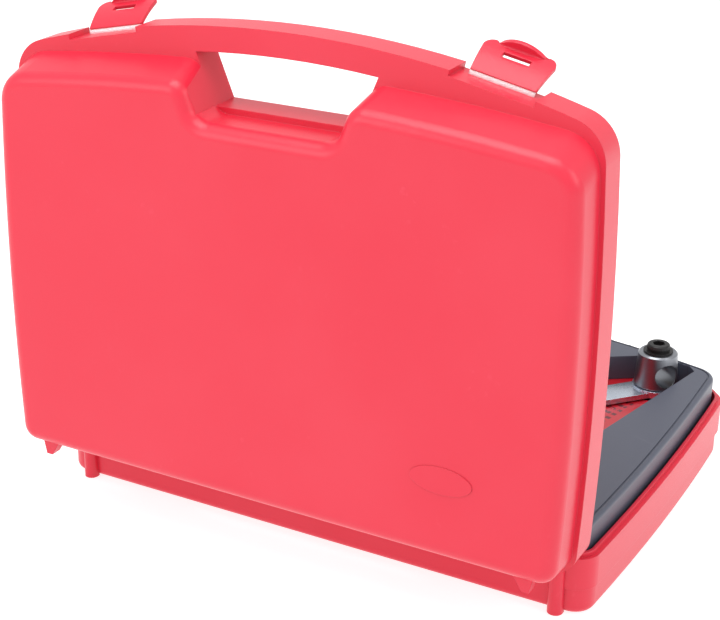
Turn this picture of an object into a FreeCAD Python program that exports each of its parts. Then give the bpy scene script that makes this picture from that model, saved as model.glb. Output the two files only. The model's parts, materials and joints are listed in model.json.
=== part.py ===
import FreeCAD, Part
import math
import os
from types import SimpleNamespace

V = FreeCAD.Vector
TOUCHING = 0.01
CORNER_STEPS = 30

# Driving dimensions in millimetres and degrees
SIZES = {
    "case_width": 400, "side_bow": 4, "side_depth": 271, "front_sag": 31, "wall_thickness": 2.5,
    "base_height": 40, "lid_depth": 50, "flange_depth": 22, "parting_gap": 0.3, "lid_open_angle": 90,
    "corner_front": 26, "corner_rear": 15, "corner_least": 7.5, "step_inset": 3, "base_inset": 1,
    "body_front_setback": 18, "body_front_sag": 14, "lid_front_slope": 9, "lid_side_draft": 1,
    "lid_edge_radius": 9, "base_edge_radius": 5, "tongue_thickness": 2, "tongue_height": 3, "tongue_root": 6,
    "hand_hole_floor": 50, "bow_width": 15.5, "hand_half_low": 48, "hand_half_high": 61, "hand_draft": 4,
    "hand_corner": 12, "hand_wall": 4.5,
    "latch_inset": 70, "latch_width": 44, "latch_length": 26, "latch_thickness": 2.5, "latch_root": 40,
    "latch_axis_height": 8, "latch_axis_inset": 2.2, "latch_slot_width": 17, "latch_slot_height": 3.9,
    "latch_slot_reach": 17, "latch_corner": 6, "latch_bulge": 1.2, "latch_lip_height": 6,
    "latch_lip_half": 15, "latch_fold": 60, "latch_pocket_width": 52, "latch_pocket_depth": 4,
    "latch_pocket_drop": 22, "film_bead_diameter": 1.6, "film_bead_gap": 0.3,
    "film_web_thickness": 0.8, "catch_width": 15, "catch_height": 3, "catch_reach": 3.4,
    "hinge_inset": 90, "hinge_pin_diameter": 4, "hinge_pin_clearance": 0.05, "knuckle_diameter": 9,
    "knuckle_length": 18, "knuckle_gap": 0.4, "hinge_setback": 5,
    "foot_inset": 24, "foot_width": 10, "foot_reach": 5, "foot_height": 34,
    "lug_inset": 28, "lug_width": 14, "lug_reach": 6, "lug_height": 43, "lug_thickness": 8,
    "lug_crest_outer": 2.4, "lug_crest_width": 4.6,
    "oval_inset": 79, "oval_height": 57, "oval_half_width": 20, "oval_half_height": 9, "oval_relief": 0.6,
    "deck_inset": 7, "deck_top": 58, "deck_skirt_bottom": 30, "deck_wall": 2.5, "deck_edge_radius": 2.5,
    "deck_bay_half": 70, "deck_bay_gap": 2, "deck_groove_inset": 3, "deck_groove_width": 1.4,
    "deck_groove_depth": 0.8, "deck_pillar_diameter": 11, "deck_pillar_bottom": 8,
    "deck_screw_diameter": 4, "deck_screw_head": 8, "deck_screw_head_height": 2.6, "deck_screw_length": 16,
    "pillar_front_across": 92, "pillar_front_back": 38, "pillar_rear_inset": 28, "pillar_rear_back": 26,
    "counterbore_clearance": 0.2, "hole_beyond": 1,
    "pivot_inset": 51, "pivot_back": 50.5, "arm_angle": 50, "window_low_angle": 34.6,
    "window_high_angle": 79.2, "window_margin": 23, "window_rear": 30.5, "window_front": 17.5,
    "window_corner": 9,
    "plate_top": 39.5, "plate_thickness": 2, "plate_overlap": 11, "plate_front_overlap": 2.2,
    "plate_hole_diameter": 34, "plate_boss_diameter": 10, "plate_screw_diameter": 4, "plate_screw_head": 8,
    "plate_screw_edge": 6.5, "plate_screw_near": 60, "plate_screw_tip": 33.8, "plate_screw_length": 12,
    "screw_clearance": 0.05,
    "block_flange_diameter": 38, "block_flange_height": 6, "block_diameter": 34, "block_ear_diameter": 16,
    "block_turn": -6, "block_top": 36, "block_pad_height": 5, "block_pad_margin": 1, "block_screw_circle": 54,
    "block_screw_diameter": 5, "block_screw_head": 8.5, "block_screw_head_height": 5,
    "block_screw_length": 10, "block_recess_diameter": 24, "block_recess_height": 4,
    "bush_outer": 18, "bush_length": 10, "spindle_diameter": 14, "spindle_clearance": 0.04,
    "spindle_bottom": 8.5, "spindle_flange_diameter": 26, "thrust_washer_thickness": 1,
    "ring_thickness": 1.2, "ring_outer": 19, "ring_groove_depth": 0.8, "ring_opening": 9,
    "ring_end_play": 0.6,
    "arm_bottom": 41, "arm_thickness": 4, "arm_width": 22, "arm_tip_gap": 20, "arm_taper": 26,
    "arm_tip_width": 2, "arm_eye_diameter": 32, "arm_disc_diameter": 33, "arm_disc_thickness": 1,
    "spindle_stub_reach": 2.5,
    "post_base_diameter": 31, "post_top_diameter": 28, "post_height": 26, "post_bore_diameter": 17,
    "post_bore_height": 11.5, "post_bore_angle": 90, "post_edge": 1.2, "dowel_diameter": 4,
    "dowel_circle": 20, "dowel_length": 10, "dowel_clearance": 0.02,
    "screw_diameter": 10, "screw_head_diameter": 16, "screw_head_height": 5, "screw_head_edge": 0.8,
    "screw_hex": 8, "screw_hex_depth": 3.5, "screw_tip_reach": 1, "washer_clearance": 0.2,
    "head_washer_thickness": 1, "head_washer_outer": 21, "pad_diameter": 9.2, "pad_height": 3,
}

doc = FreeCAD.newDocument("tube_tester")
sheet = doc.addObject("Spreadsheet::Sheet", "Sizes")
for row, (alias, value) in enumerate(SIZES.items(), start=1):
    sheet.set("A%d" % row, alias)
    sheet.set("B%d" % row, str(value))
    sheet.setAlias("B%d" % row, alias)
doc.recompute()
d = SimpleNamespace(**{alias: float(sheet.get(alias)) for alias in SIZES})

# Places that follow from the driving dimensions
half_width = d.case_width / 2
rear_y = (d.side_depth + d.front_sag) / 2
front_apex_y = -rear_y
corner_chord = half_width - d.side_bow
side_radius = ((d.side_depth / 2) ** 2 + d.side_bow ** 2) / (2 * d.side_bow)
side_centre = V(half_width - side_radius, rear_y - d.side_depth / 2, 0)
rim_front = SimpleNamespace(
    apex=front_apex_y,
    radius=(corner_chord ** 2 + d.front_sag ** 2) / (2 * d.front_sag))
body_front = SimpleNamespace(
    apex=front_apex_y + d.body_front_setback,
    radius=(corner_chord ** 2 + d.body_front_sag ** 2) / (2 * d.body_front_sag))
lid_face_front = SimpleNamespace(apex=body_front.apex + d.lid_front_slope, radius=body_front.radius)
parting_z = d.base_height
lid_rim_z = parting_z + d.parting_gap
lid_step_z = parting_z + d.flange_depth
lid_top_z = parting_z + d.lid_depth
hinge_axis = V(0, rear_y + d.hinge_setback, parting_z)
pivot = V(d.pivot_inset - half_width, front_apex_y + d.pivot_back, 0)
latch_x = half_width - d.latch_inset
hinge_x = half_width - d.hinge_inset
foot_x = half_width - d.foot_inset
lug_x = half_width - d.lug_inset
oval_x = half_width - d.oval_inset
pillar_rear_x = half_width - d.pillar_rear_inset
window_radius = (rear_y - d.window_rear - pivot.y) / math.sin(math.radians(d.window_high_angle))
arm_length = window_radius - d.arm_tip_gap
hand_floor_y = front_apex_y + d.hand_hole_floor
hand_top_y = front_apex_y + d.bow_width
plate_bottom = d.plate_top - d.plate_thickness
block_bottom = d.wall_thickness + d.block_pad_height
arm_top = d.arm_bottom + d.arm_thickness
post_bottom = arm_top + d.arm_disc_thickness
post_top = post_bottom + d.post_height
bore_z = post_bottom + d.post_bore_height
washer_top = post_top + d.head_washer_thickness
screw_tip = bore_z + d.post_bore_diameter / 2 - d.screw_tip_reach
stub_top = post_bottom + d.spindle_stub_reach
bush_inner = d.spindle_diameter + 2 * d.spindle_clearance
pillar_front_y = front_apex_y + d.pillar_front_back
pillar_rear_y = rear_y - d.pillar_rear_back
deck_pillars = [
    V(-d.pillar_front_across, pillar_front_y, 0), V(-pillar_rear_x, pillar_rear_y, 0),
    V(d.pillar_front_across, pillar_front_y, 0), V(pillar_rear_x, pillar_rear_y, 0)]
nodes = []


# Curves in the plan

def polar(angle, radius=1.0):
    """Vector at an angle in degrees from the X axis."""
    return V(radius * math.cos(math.radians(angle)), radius * math.sin(math.radians(angle)), 0)


def line(start, end):
    return Part.LineSegment(start, end)


def arc(start, middle, end):
    """Arc through three points, always drawn anticlockwise."""
    turn = (middle - start).cross(end - middle).z
    return Part.Arc(start, middle, end) if turn > 0 else Part.Arc(end, middle, start)


def circle(centre, diameter):
    return Part.Circle(centre, V(0, 0, 1), diameter / 2)


def polygon(points):
    """Closed chain of lines."""
    return [line(start, end) for start, end in zip(points, points[1:] + points[:1])]


def mirrored(point):
    """The same point on the other side of the YZ plane."""
    return V(-point.x, point.y, point.z)


def flipped(point):
    """The same point on the other side of the XZ plane."""
    return V(point.x, -point.y, point.z)


def side_x(y, inset):
    """Half width of the bowed side at y."""
    return side_centre.x + math.sqrt((side_radius - inset) ** 2 - (y - side_centre.y) ** 2)


def front_y(x, inset, front):
    """Front edge of the outline at x."""
    return front.apex + front.radius - math.sqrt((front.radius - inset) ** 2 - x ** 2)


def front_corner(inset, front):
    """Where the bowed side meets the bowed front."""
    x = corner_chord
    for step in range(CORNER_STEPS):
        x = side_x(front_y(x, inset, front), inset)
    return V(x, front_y(x, inset, front), 0)


def onto(centre, through, radius):
    """Point on a circle in the direction of another point."""
    return centre + (through - centre).normalize() * radius


def outline(inset, front=rim_front):
    """Case outline moved inwards: straight rear, bowed sides and front, round corners."""
    front_radius = max(d.corner_front - inset, d.corner_least)
    rear_radius = max(d.corner_rear - inset, d.corner_least)
    front_centre = V(0, front.apex + front.radius, 0)
    front_mid = front_corner(inset + front_radius, front)
    rear_mid_y = rear_y - inset - rear_radius
    rear_mid = V(side_x(rear_mid_y, inset + rear_radius), rear_mid_y, 0)
    rear_end = V(rear_mid.x, rear_y - inset, 0)
    side_start = onto(side_centre, rear_mid, side_radius - inset)
    side_end = onto(side_centre, front_mid, side_radius - inset)
    front_start = onto(front_centre, front_mid, front.radius - inset)
    rear_bend = onto(rear_mid, (rear_end + side_start) / 2, rear_radius)
    front_bend = onto(front_mid, (side_end + front_start) / 2, front_radius)
    side_middle = V(side_x(side_centre.y, inset), side_centre.y, 0)
    bends = [(rear_end, rear_bend, side_start), (side_start, side_middle, side_end),
             (side_end, front_bend, front_start)]
    bends += [tuple(mirrored(point) for point in bend) for bend in bends]
    bends.append((front_start, V(0, front.apex + inset, 0), mirrored(front_start)))
    return [line(mirrored(rear_end), rear_end)] + [arc(*bend) for bend in bends]


def hand_half(y):
    """Half width of the hand opening, wider towards the bow."""
    rise = (hand_floor_y - y) / (hand_floor_y - hand_top_y)
    return d.hand_half_low + (d.hand_half_high - d.hand_half_low) * rise


def hand_hole(grow):
    """Hand hole in the plan, its far edge following the bow."""
    low = hand_floor_y + grow
    near = V(hand_half(low) + grow, low, 0)
    far_x = hand_half(hand_top_y) + grow
    far = V(far_x, front_y(far_x, d.bow_width - grow, rim_front), 0)
    crest = V(0, hand_top_y - grow, 0)
    sides = [line(near, far), line(mirrored(far), mirrored(near))]
    return sides + [line(mirrored(near), near), arc(far, crest, mirrored(far))]


def hand_notch(grow):
    """Hand notch of the deep body, open to the front."""
    low = hand_floor_y + d.hand_draft + grow
    near = V(hand_half(low) + grow, low, 0)
    far = V(hand_half(front_apex_y) + grow, front_apex_y, 0)
    return polygon([mirrored(near), near, far, mirrored(far)])


def latch_frame(side):
    """Middle of a latch's hinge line in the plan, its direction and its outward direction."""
    centre = V(0, rim_front.apex + rim_front.radius, 0)
    x = side * latch_x
    outward = (V(x, front_y(x, 0, rim_front), 0) - centre).normalize()
    along = V(-outward.y, outward.x, 0)
    return centre + outward * (rim_front.radius - d.latch_axis_inset), along, outward


def latch_pocket(side, grow):
    """Plan of the pocket that a latch folds into."""
    axis, along, outward = latch_frame(side)
    half = d.latch_pocket_width / 2 + grow
    inner = axis + outward * (d.latch_axis_inset - d.latch_pocket_depth - grow)
    outer = axis + outward * d.latch_length
    return polygon([inner - along * half, inner + along * half, outer + along * half, outer - along * half])


def window(grow, front_grow):
    """Fan-shaped window: edges beside the arm's swing, an arc at its tip, a straight front, a cut corner."""
    margin = d.window_margin + grow
    radius = window_radius + grow
    reach = math.sqrt(radius ** 2 - margin ** 2)
    low_way = polar(d.window_low_angle)
    high_way = polar(d.window_high_angle)
    low_root = pivot + V(low_way.y, -low_way.x, 0) * margin
    high_root = pivot + V(-high_way.y, high_way.x, 0) * margin
    front = pivot.y - d.window_front - front_grow
    low_start = low_root + low_way * ((front - low_root.y) / low_way.y)
    high_start = high_root + high_way * ((front - high_root.y) / high_way.y)
    low_end = low_root + low_way * reach
    high_end = high_root + high_way * reach
    tip = pivot + polar((d.window_low_angle + d.window_high_angle) / 2, radius)
    corner_front = high_start + V(d.window_corner, 0, 0)
    corner_side = high_start + high_way * d.window_corner
    sides = [line(low_start, low_end), line(high_end, corner_side), line(corner_side, corner_front)]
    return sides + [line(corner_front, low_start), arc(low_end, tip, high_end)]


def plate_screw_points():
    """Screws beside both straight edges of the window and at the middle of its arc."""
    margin = d.window_margin + d.plate_screw_edge
    low_way = polar(d.window_low_angle)
    high_way = polar(d.window_high_angle)
    middle_angle = (d.window_low_angle + d.window_high_angle) / 2
    points = [pivot + polar(middle_angle, window_radius + d.plate_screw_edge)]
    far_reach = math.sqrt(window_radius ** 2 - d.window_margin ** 2) - d.plate_screw_tip
    for reach in (d.plate_screw_near, far_reach):
        points.append(pivot + V(low_way.y, -low_way.x, 0) * margin + low_way * reach)
        points.append(pivot + V(-high_way.y, high_way.x, 0) * margin + high_way * reach)
    return points


# Features

def size(feature, name, expression):
    feature.setExpression(name, expression)


def new_body(name):
    return doc.addObject("PartDesign::Body", name)


def origin_plane(body, role):
    return [plane for plane in body.Origin.OriginFeatures if plane.Role == role][0]


def sketch(body, curves, height="0", plane="XY_Plane"):
    """Sketch on an origin plane, lifted by an expression."""
    profile = body.newObject("Sketcher::SketchObject", body.Name + "_sketch")
    profile.AttachmentSupport = (origin_plane(body, plane), [""])
    profile.MapMode = "FlatFace"
    size(profile, "AttachmentOffset.Base.z", height)
    profile.addGeometry(curves, False)
    return profile


def pad(body, curves, bottom, length, plane="XY_Plane"):
    """Prism that rises from a height above an origin plane."""
    feature = body.newObject("PartDesign::Pad", body.Name + "_pad")
    feature.Profile = sketch(body, curves, bottom, plane)
    size(feature, "Length", length)
    return feature


def pocket(body, curves, bottom, length):
    """Prism cut upwards from a height."""
    feature = body.newObject("PartDesign::Pocket", body.Name + "_pocket")
    feature.Profile = sketch(body, curves, bottom)
    feature.Reversed = True
    size(feature, "Length", length)
    return feature


def loft(body, lower, lower_height, upper, upper_height):
    """Straight-sided loft between two outlines."""
    feature = body.newObject("PartDesign::AdditiveLoft", body.Name + "_loft")
    feature.Profile = sketch(body, lower, lower_height)
    feature.Sections = [sketch(body, upper, upper_height)]
    feature.Ruled = True
    return feature


def revolve(body, points):
    """Turned solid from points of radius and height."""
    feature = body.newObject("PartDesign::Revolution", body.Name + "_turned")
    profile = sketch(body, polygon([V(radius, height, 0) for radius, height in points]), plane="XZ_Plane")
    feature.Profile = profile
    feature.ReferenceAxis = (profile, ["V_Axis"])
    feature.Angle = 360
    return feature


def edges_at(feature, height):
    """Names of the edges that lie flat at a height."""
    doc.recompute()
    found = []
    for number, edge in enumerate(feature.Shape.Edges, start=1):
        extent = edge.BoundBox
        if abs(extent.ZMin - height) < TOUCHING and abs(extent.ZMax - height) < TOUCHING:
            found.append("Edge%d" % number)
    return found


def notch_corners(feature):
    """Names of the upright edges of the hand notch."""
    doc.recompute()
    found = []
    for number, edge in enumerate(feature.Shape.Edges, start=1):
        extent = edge.BoundBox
        upright = abs(extent.ZMin - lid_step_z) < TOUCHING and abs(extent.ZMax - lid_top_z) < TOUCHING
        if upright and abs(extent.Center.x) < d.hand_half_high + d.hand_wall:
            found.append("Edge%d" % number)
    return found


def round_named(body, feature, names, radius):
    fillet = body.newObject("PartDesign::Fillet", body.Name + "_round")
    fillet.Base = (feature, names)
    size(fillet, "Radius", radius)
    return fillet


def round_edges(body, feature, height, radius):
    """Fillet along every flat edge at a height."""
    return round_named(body, feature, edges_at(feature, height), radius)


def cylinder(name, diameter, height, place, axis=V(0, 0, 1)):
    """Cylinder whose diameter and height are expressions."""
    solid = doc.addObject("Part::Cylinder", name)
    size(solid, "Radius", "(%s) / 2" % diameter)
    size(solid, "Height", height)
    solid.Placement = FreeCAD.Placement(place, FreeCAD.Rotation(V(0, 0, 1), axis))
    return solid


def box(name, length, width, height, place):
    """Box whose sides are expressions, standing on the corner with the lowest coordinates."""
    solid = doc.addObject("Part::Box", name)
    size(solid, "Length", length)
    size(solid, "Width", width)
    size(solid, "Height", height)
    solid.Placement = FreeCAD.Placement(place, FreeCAD.Rotation())
    return solid


def cut(name, base, tool):
    result = doc.addObject("Part::Cut", name)
    result.Base = base
    result.Tool = tool
    return result


def fuse(name, shapes):
    result = doc.addObject("Part::MultiFuse", name)
    result.Shapes = shapes
    result.Refine = True
    return result


def common(name, shapes):
    """What two solids share."""
    result = doc.addObject("Part::MultiCommon", name)
    result.Shapes = shapes
    return result


def group(name, shapes):
    """Separate solids in one node."""
    result = doc.addObject("Part::Compound", name)
    result.Links = shapes
    return result


def node(feature, name):
    """Name a finished sub-part and list it for export."""
    feature.Label = name
    nodes.append(feature)
    return feature


def lid_place():
    """The lid stands open, turned about its hinge axis."""
    turn = FreeCAD.Rotation(V(1, 0, 0), -d.lid_open_angle)
    return FreeCAD.Placement(V(0, 0, 0), turn, hinge_axis)


def pivot_place(height=0.0, angle=0.0):
    return FreeCAD.Placement(pivot + V(0, 0, height), FreeCAD.Rotation(V(0, 0, 1), angle))


# Hinge knuckles: outer pair on the base, middle one on the lid

def knuckle_starts(on_lid):
    """Left ends of the knuckles along the hinge axis."""
    pitch = d.knuckle_length + d.knuckle_gap
    offsets = (0,) if on_lid else (-pitch, pitch)
    return [side * hinge_x + offset - d.knuckle_length / 2 for side in (-1, 1) for offset in offsets]


def knuckle_solids(owner, on_lid):
    """Barrels with the leaves that tie them to the rear wall."""
    solids = []
    radius = d.knuckle_diameter / 2
    leaf_z = lid_rim_z if on_lid else parting_z - radius
    leaf_height = "Sizes.knuckle_diameter / 2 - Sizes.parting_gap"
    for start in knuckle_starts(on_lid):
        place = V(start, hinge_axis.y, hinge_axis.z)
        solids.append(cylinder(owner + "_barrel", "Sizes.knuckle_diameter", "Sizes.knuckle_length", place,
                               V(1, 0, 0)))
        corner = V(start, rear_y - d.wall_thickness, leaf_z)
        solids.append(box(owner + "_leaf", "Sizes.knuckle_length",
                          "Sizes.hinge_setback + Sizes.wall_thickness", leaf_height, corner))
    return solids


def pin_cylinders(name, diameter, beyond):
    """One cylinder along each row of three knuckles, level with its ends or a gap beyond them."""
    length = 3 * d.knuckle_length + (2 + 2 * beyond) * d.knuckle_gap
    stretch = "3 * Sizes.knuckle_length + %d * Sizes.knuckle_gap" % (2 + 2 * beyond)
    starts = [V(side * hinge_x - length / 2, hinge_axis.y, hinge_axis.z) for side in (-1, 1)]
    return [cylinder(name, diameter, stretch, start, V(1, 0, 0)) for start in starts]


def pin_holes(owner):
    """Running fit for the pins, right through the knuckles."""
    return pin_cylinders(owner + "_pin_hole", "Sizes.hinge_pin_diameter + 2 * Sizes.hinge_pin_clearance", 1)


def make_hinge_pins():
    node(group("hinge_pins", pin_cylinders("hinge_pin", "Sizes.hinge_pin_diameter", 0)), "hinge_pins")


# Base shell with rim tongue, hand hole, latch pockets and bosses

def make_base():
    outer = new_body("base_outer")
    pad(outer, outline(0), "Sizes.base_height - Sizes.flange_depth", "Sizes.flange_depth")
    floor = pad(outer, outline(d.base_inset, body_front), "0", "Sizes.base_height - Sizes.flange_depth")
    round_edges(outer, floor, 0, "Sizes.base_edge_radius")
    tongue_inset = d.wall_thickness + d.parting_gap
    pad(outer, outline(tongue_inset), "Sizes.base_height", "Sizes.tongue_height")
    pocket(outer, hand_hole(tongue_inset), "Sizes.base_height", "Sizes.tongue_height")
    pocket(outer, hand_hole(0), "0", "Sizes.base_height")
    pocket(outer, hand_notch(0), "0", "Sizes.base_height - Sizes.flange_depth")
    for side in (-1, 1):
        pocket(outer, latch_pocket(side, tongue_inset), "Sizes.base_height", "Sizes.tongue_height")
        pocket(outer, latch_pocket(side, 0), "Sizes.base_height - Sizes.latch_pocket_drop",
               "Sizes.latch_pocket_drop")

    cavity = new_body("base_cavity")
    inner = d.base_inset + d.wall_thickness
    hollow = pad(cavity, outline(inner, body_front), "Sizes.wall_thickness", "Sizes.base_height")
    round_edges(cavity, hollow, d.wall_thickness, "Sizes.base_edge_radius - Sizes.wall_thickness")
    pad(cavity, outline(d.wall_thickness), "Sizes.base_height - Sizes.flange_depth + Sizes.wall_thickness",
        "Sizes.flange_depth - Sizes.wall_thickness - Sizes.tongue_root")
    pad(cavity, outline(tongue_inset + d.tongue_thickness), "Sizes.base_height - Sizes.tongue_root",
        "Sizes.tongue_root + Sizes.tongue_height")
    pocket(cavity, hand_hole(d.wall_thickness), "0", "2 * Sizes.base_height")
    pocket(cavity, hand_notch(d.wall_thickness), "0", "Sizes.base_height - Sizes.flange_depth")
    for side in (-1, 1):
        pocket(cavity, latch_pocket(side, d.wall_thickness),
               "Sizes.base_height - Sizes.latch_pocket_drop - Sizes.wall_thickness", "2 * Sizes.base_height")

    shell = cut("base_moulding", outer, cavity)
    additions = [shell] + knuckle_solids("base", False)
    for sign in (-1, 1):
        place = V(sign * foot_x, rear_y + d.foot_reach - d.foot_width / 2, 0)
        additions.append(cylinder("rear_foot", "Sizes.foot_width", "Sizes.foot_height", place))
        corner = V(sign * foot_x - d.foot_width / 2, rear_y - d.base_inset - d.wall_thickness / 2, 0)
        depth = "Sizes.foot_reach - Sizes.foot_width / 2 + Sizes.base_inset + Sizes.wall_thickness / 2"
        additions.append(box("rear_foot_web", "Sizes.foot_width", depth, "Sizes.foot_height", corner))
        additions.append(catch_tooth(sign))
    for point in deck_pillars:
        additions.append(cylinder("deck_boss", "Sizes.deck_pillar_diameter", "Sizes.deck_pillar_bottom",
                                  point))
    for point in plate_screw_points():
        height = "Sizes.plate_top - Sizes.plate_thickness"
        additions.append(cylinder("plate_boss", "Sizes.plate_boss_diameter", height, point))
    additions.append(block_flange("block_pad", d.block_pad_margin, "Sizes.wall_thickness / 2",
                                  "Sizes.wall_thickness / 2 + Sizes.block_pad_height"))
    holes = pin_holes("base") + deck_screw_holes("base")
    for point in plate_screw_points():
        bottom = V(point.x, point.y, d.plate_top - d.plate_screw_length - d.hole_beyond)
        holes.append(cylinder("plate_boss_hole", "Sizes.plate_screw_diameter + 2 * Sizes.screw_clearance",
                              "Sizes.plate_screw_length + Sizes.hole_beyond", bottom))
    for point in block_screw_points():
        bottom = V(point.x, point.y, block_screw_bottom() - d.hole_beyond)
        holes.append(cylinder("block_pad_hole", "Sizes.block_screw_diameter + 2 * Sizes.screw_clearance",
                              "Sizes.block_screw_length", bottom))
    node(cut("base_shell", fuse("base_built", additions), fuse("base_holes", holes)), "base_shell")


def catch_tooth(sign):
    """Tooth on the back of the latch pocket that the folded latch hooks over."""
    axis, along, outward = latch_frame(sign)
    root = d.latch_axis_inset - d.latch_pocket_depth - d.wall_thickness / 2
    tooth = box("catch_tooth", "Sizes.catch_reach + Sizes.wall_thickness / 2", "Sizes.catch_width",
                "Sizes.catch_height", V(0, 0, 0))
    low = parting_z + d.latch_axis_height - d.latch_slot_reach - d.catch_height / 2
    corner = axis + outward * root - along * (d.catch_width / 2) + V(0, 0, low)
    tooth.Placement = FreeCAD.Placement(corner, FreeCAD.Rotation(outward, along, V(0, 0, 1), "XYZ"))
    return tooth


# Lid shell, drawn closed and then turned open

def make_lid():
    outer = new_body("lid_outer")
    pad(outer, outline(0), "Sizes.base_height + Sizes.parting_gap", "Sizes.flange_depth - Sizes.parting_gap")
    loft(outer, outline(d.step_inset, body_front), "Sizes.base_height + Sizes.flange_depth",
         outline(d.step_inset + d.lid_side_draft, lid_face_front), "Sizes.base_height + Sizes.lid_depth")
    notch = pocket(outer, hand_notch(0), "Sizes.base_height + Sizes.flange_depth", "Sizes.lid_depth")
    eased = round_named(outer, notch, notch_corners(notch), "Sizes.hand_corner")
    round_edges(outer, eased, lid_top_z, "Sizes.lid_edge_radius")
    pocket(outer, hand_hole(0), "Sizes.base_height", "Sizes.lid_depth")
    for side in (-1, 1):
        pocket(outer, latch_pocket(side, 0), "Sizes.base_height", "Sizes.flange_depth + Sizes.hole_beyond")

    cavity = new_body("lid_cavity")
    wall = d.wall_thickness
    pad(cavity, outline(wall), "Sizes.base_height", "Sizes.flange_depth - Sizes.wall_thickness")
    hollow = loft(cavity, outline(d.step_inset + wall, body_front),
                  "Sizes.base_height + Sizes.flange_depth - Sizes.wall_thickness",
                  outline(d.step_inset + d.lid_side_draft + wall, lid_face_front),
                  "Sizes.base_height + Sizes.lid_depth - Sizes.wall_thickness")
    round_edges(cavity, hollow, lid_top_z - wall, "Sizes.lid_edge_radius - Sizes.wall_thickness")
    pocket(cavity, hand_hole(wall), "Sizes.base_height", "Sizes.lid_depth")
    pocket(cavity, hand_notch(d.hand_wall), "Sizes.base_height + Sizes.flange_depth - Sizes.wall_thickness",
           "Sizes.lid_depth")
    for side in (-1, 1):
        pocket(cavity, latch_pocket(side, wall), "Sizes.base_height", "Sizes.flange_depth")

    shell = cut("lid_moulding", outer, cavity)
    additions = [shell, lid_lug(-1), lid_lug(1), oval_panel()] + knuckle_solids("lid", True)
    lid = cut("lid_shell", fuse("lid_built", additions), fuse("lid_holes", pin_holes("lid")))
    lid.Placement = lid_place()
    node(lid, "lid_shell")


def lid_lug(sign):
    """Wedge foot on the rear wall, upright on its outer side."""
    root = rear_y - d.step_inset - d.lid_side_draft - d.wall_thickness / 2
    crest = rear_y + d.lug_reach
    outer = lug_x + d.lug_width / 2
    crest_outer = outer - d.lug_crest_outer
    points = [V(sign * outer, root, 0), V(sign * (outer - d.lug_width), root, 0),
              V(sign * (crest_outer - d.lug_crest_width), crest, 0), V(sign * crest_outer, crest, 0)]
    lug = new_body("lid_lug")
    pad(lug, polygon(points), "Sizes.base_height + Sizes.lug_height - Sizes.lug_thickness",
        "Sizes.lug_thickness")
    return lug


def oval_panel():
    """Plain raised oval on the outer face."""
    oval = new_body("oval_panel")
    centre = V(-oval_x, rear_y - d.oval_height, 0)
    pad(oval, [Part.Ellipse(centre, d.oval_half_width, d.oval_half_height)],
        "Sizes.base_height + Sizes.lid_depth - Sizes.wall_thickness / 2",
        "Sizes.wall_thickness / 2 + Sizes.oval_relief")
    return oval


# Latches on film hinges

def latch_plan():
    """Latch seen from outside: straight root, sides that spread a little and round corners."""
    heel = V(d.latch_root / 2, d.film_bead_diameter / 2 + d.film_bead_gap, 0)
    corner = V(d.latch_width / 2 - d.latch_corner, d.latch_length - d.latch_corner, 0)
    bend = [corner + polar(angle, d.latch_corner) for angle in (0, 45, 90)]
    far_bend = [mirrored(point) for point in bend]
    straight = [line(heel, bend[0]), line(bend[2], far_bend[2]), line(far_bend[0], mirrored(heel))]
    return straight + [line(mirrored(heel), heel), arc(*bend), arc(*far_bend)]


def latch_profile():
    """Latch seen along its hinge: reach across, height up, bulging away from the case."""
    half = d.latch_thickness / 2
    root = d.film_bead_diameter / 2 + d.film_bead_gap
    middle = (root + d.latch_length) / 2
    inner = [V(root, -half, 0), V(middle, d.latch_bulge - half, 0), V(d.latch_length, -half, 0)]
    outer = [V(root, half, 0), V(middle, d.latch_bulge + half, 0), V(d.latch_length, half, 0)]
    return [arc(*inner), arc(*outer), line(inner[0], outer[0]), line(inner[2], outer[2])]


def latch_lip():
    """Turned-up end of the latch seen along its reach: a low round crest."""
    half = d.latch_thickness / 2
    foot = V(d.latch_lip_half, -half, 0)
    shoulder = V(d.latch_lip_half, half, 0)
    crest = V(0, half + d.latch_lip_height, 0)
    sides = [line(foot, shoulder), line(mirrored(shoulder), mirrored(foot)), line(mirrored(foot), foot)]
    return sides + [arc(shoulder, crest, mirrored(shoulder))]


def make_latch(side, name):
    """Bulged tab with a slot and a turned-up lip, drawn with its reach along Y, then folded into place."""
    axis, along, outward = latch_frame(side)
    sheet = new_body(name + "_sheet")
    pad(sheet, latch_profile(), "-Sizes.latch_width / 2", "Sizes.latch_width", "YZ_Plane")
    plan = new_body(name + "_plan")
    pad(plan, latch_plan(), "-Sizes.latch_length", "2 * Sizes.latch_length")
    slot_low = V(d.latch_slot_width / 2, d.latch_slot_reach - d.latch_slot_height / 2, 0)
    slot_high = V(d.latch_slot_width / 2, d.latch_slot_reach + d.latch_slot_height / 2, 0)
    pocket(plan, polygon([mirrored(slot_low), slot_low, slot_high, mirrored(slot_high)]),
           "-Sizes.latch_length", "2 * Sizes.latch_length")
    lip = new_body(name + "_lip")
    pad(lip, latch_lip(), "-Sizes.latch_length", "Sizes.latch_thickness", "XZ_Plane")
    latch = fuse(name, [common(name + "_tab", [sheet, plan]), lip])
    middle = axis + V(0, 0, parting_z + d.latch_axis_height)
    turned = FreeCAD.Rotation(-along, outward, V(0, 0, 1), "ZXY")
    folded = turned * FreeCAD.Rotation(V(1, 0, 0), -d.latch_fold)
    latch.Placement = lid_place() * FreeCAD.Placement(middle, folded)
    node(latch, name)


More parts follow.
